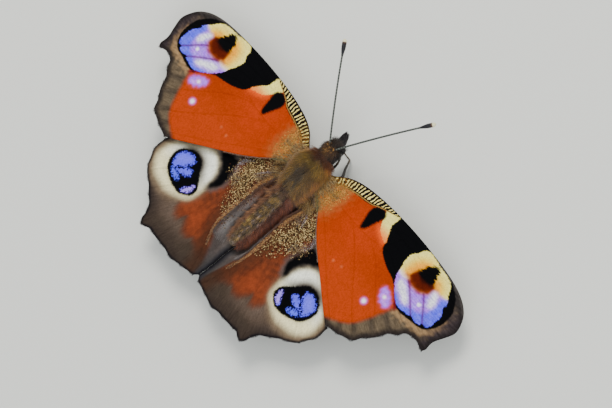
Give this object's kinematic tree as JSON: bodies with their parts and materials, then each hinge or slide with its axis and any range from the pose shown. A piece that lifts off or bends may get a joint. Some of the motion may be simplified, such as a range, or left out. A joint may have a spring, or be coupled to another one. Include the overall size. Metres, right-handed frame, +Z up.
{
  "type": "peacock butterfly",
  "caption": "Life-size peacock butterfly standing with its wings spread flat, an eyespot on each wing and its feelers raised forward.",
  "frame": {"origin": "on the floor under the middle of the whole insect's box", "axes": "+X to the butterfly's right along the wingspan, +Y forward towards the head, +Z up"},
  "size_m": [0.0648, 0.0418, 0.0107],
  "materials": {
    "forewing": "velvety scales, orange-red with a dark patch and an eyespot",
    "hindwing": "velvety scales, rust brown with a ringed eyespot",
    "thorax_fur": "long olive-brown hair",
    "abdomen_fur": "short dark hair with gold tips",
    "head_fur": "short red-brown hair",
    "eye": "dark, finely faceted, glossy",
    "feeler": "dark with pale rings and a pale club tip",
    "palp": "dark bristly scales",
    "leg": "dark with pale scales",
    "tongue": "smooth dark brown"
  },
  "bodies": {
    "root": {"abdomen": "abdomen_fur", "antenna_left": "feeler", "antenna_right": "feeler", "eye_left": "eye", "eye_right": "eye", "foreleg_left": "leg", "foreleg_right": "leg", "forewing_left": "forewing", "forewing_right": "forewing", "head": "head_fur", "hindleg_left": "leg", "hindleg_right": "leg", "hindwing_left": "hindwing", "hindwing_right": "hindwing", "midleg_left": "leg", "midleg_right": "leg", "palp_left": "palp", "palp_right": "palp", "thorax": "thorax_fur", "tongue": "tongue"}
  },
  "joints": []
}
